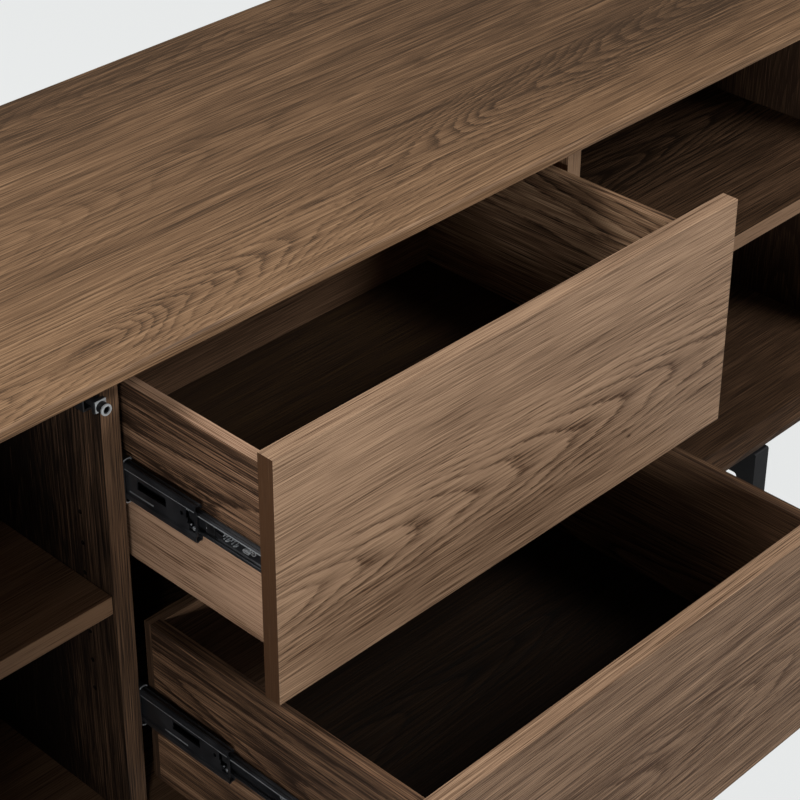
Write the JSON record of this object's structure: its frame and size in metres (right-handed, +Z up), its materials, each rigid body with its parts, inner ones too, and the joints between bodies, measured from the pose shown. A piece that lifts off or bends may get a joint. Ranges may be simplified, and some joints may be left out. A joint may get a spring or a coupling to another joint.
{
  "type": "sideboard",
  "caption": "Long low sideboard: mitred veneered case with bevelled front edges, stacked middle drawers on slides, a hinged door, open bays with shelves, and black steel leg frames.",
  "frame": {"origin": "middle of the underside of the case", "axes": "+X along the length to the right seen from the front, +Y from front to back, +Z up"},
  "size_m": [1.8158, 0.9554, 0.6985],
  "materials": {
    "case_veneer": "satin lacquered walnut-stained oak veneer",
    "shelf_veneer": "satin lacquered walnut-stained oak veneer",
    "back_panel_veneer": "thin stained veneer panel",
    "front_veneer": "satin lacquered walnut-stained oak veneer, figured",
    "drawer_box_wood": "satin stained wood",
    "drawer_bottom_veneer": "dark stained veneer panel",
    "black_coated_steel": "matt black powder coat",
    "black_slide_steel": "semi-gloss black electrophoretic coat",
    "black_plastic": "moulded, fine texture",
    "white_plastic": "moulded, satin",
    "plated_steel": "zinc or nickel plated",
    "beech": "plain turned or sawn beech"
  },
  "bodies": {
    "case": {"back_panel": "back_panel_veneer", "back_screws": "plated_steel", "bottom_panel": "case_veneer", "cabinet_member_screws": "plated_steel", "divider_dowels": "beech", "fitting_screws": "plated_steel", "hinge_arms": "plated_steel", "hinge_plates": "plated_steel", "latch_body": "black_plastic", "left_divider": "case_veneer", "left_end_panel": "case_veneer", "left_leg_frame": "black_coated_steel", "left_shelf": "shelf_veneer", "leg_glides": "black_plastic", "leg_screws": "plated_steel", "lower_drawer_left_cabinet_member": "black_slide_steel", "lower_drawer_right_cabinet_member": "black_slide_steel", "mitre_splines": "beech", "right_divider": "case_veneer", "right_end_panel": "case_veneer", "right_leg_frame": "black_coated_steel", "right_shelf": "shelf_veneer", "shelf_supports": "plated_steel", "top_panel": "case_veneer", "upper_drawer_left_cabinet_member": "black_slide_steel", "upper_drawer_right_cabinet_member": "black_slide_steel"},
    "door": {"door": "front_veneer", "hinge_cups": "plated_steel", "hinge_pins": "plated_steel", "door_screws": "plated_steel", "strike_plate": "plated_steel"},
    "latch_plunger": {"latch_nose": "black_plastic", "latch_ring": "white_plastic", "latch_magnet": "plated_steel"},
    "upper_drawer": {"upper_drawer_back": "drawer_box_wood", "upper_drawer_bottom": "drawer_bottom_veneer", "upper_drawer_drawer_member_screws": "plated_steel", "upper_drawer_front": "front_veneer", "upper_drawer_front_screws": "plated_steel", "upper_drawer_inner_front": "drawer_box_wood", "upper_drawer_left_drawer_member": "black_slide_steel", "upper_drawer_left_side": "drawer_box_wood", "upper_drawer_release_levers": "black_plastic", "upper_drawer_right_drawer_member": "black_slide_steel", "upper_drawer_right_side": "drawer_box_wood"},
    "upper_left_slide": {"upper_drawer_left_middle_member": "black_slide_steel"},
    "upper_right_slide": {"upper_drawer_right_middle_member": "black_slide_steel"},
    "lower_drawer": {"lower_drawer_back": "drawer_box_wood", "lower_drawer_bottom": "drawer_bottom_veneer", "lower_drawer_drawer_member_screws": "plated_steel", "lower_drawer_front": "front_veneer", "lower_drawer_front_screws": "plated_steel", "lower_drawer_inner_front": "drawer_box_wood", "lower_drawer_left_drawer_member": "black_slide_steel", "lower_drawer_left_side": "drawer_box_wood", "lower_drawer_release_levers": "black_plastic", "lower_drawer_right_drawer_member": "black_slide_steel", "lower_drawer_right_side": "drawer_box_wood"},
    "lower_left_slide": {"lower_drawer_left_middle_member": "black_slide_steel"},
    "lower_right_slide": {"lower_drawer_right_middle_member": "black_slide_steel"}
  },
  "joints": [
    {"name": "upper_drawer_travel", "type": "slide", "parent": "case", "child": "upper_drawer", "axis": [0, -1, 0], "range_m": [-0.17309, 0.17191]},
    {"name": "lower_drawer_travel", "type": "slide", "parent": "case", "child": "lower_drawer", "axis": [0, -1, 0], "range_m": [-0.342, 0.003]},
    {"name": "upper_left_slide_travel", "type": "slide", "parent": "case", "child": "upper_left_slide", "axis": [0, -1, 0], "range_m": [-0.08654, 0.08596]},
    {"name": "upper_right_slide_travel", "type": "slide", "parent": "case", "child": "upper_right_slide", "axis": [0, -1, 0], "range_m": [-0.08654, 0.08596]},
    {"name": "lower_left_slide_travel", "type": "slide", "parent": "case", "child": "lower_left_slide", "axis": [0, -1, 0], "range_m": [-0.11286, 0.00099]},
    {"name": "lower_right_slide_travel", "type": "slide", "parent": "case", "child": "lower_right_slide", "axis": [0, -1, 0], "range_m": [-0.11286, 0.00099]},
    {"name": "door_hinge", "type": "hinge", "parent": "case", "child": "door", "pos_m": [-0.8412, -0.1901, 0.26175], "axis": [0, 0, 1], "range_deg": [0, 100]},
    {"name": "latch_plunger_travel", "type": "slide", "parent": "case", "child": "latch_plunger", "axis": [0, 1, 0], "range_m": [0, 0.0184]}
  ],
  "couplings": [
    {"joint": "upper_left_slide_travel", "follows": "upper_drawer_travel", "ratio": 0.5},
    {"joint": "upper_right_slide_travel", "follows": "upper_drawer_travel", "ratio": 0.5},
    {"joint": "lower_left_slide_travel", "follows": "lower_drawer_travel", "ratio": 0.33},
    {"joint": "lower_right_slide_travel", "follows": "lower_drawer_travel", "ratio": 0.33},
    {"joint": "latch_plunger_travel", "follows": "door_hinge", "m_per_rad": 0.010542}
  ]
}
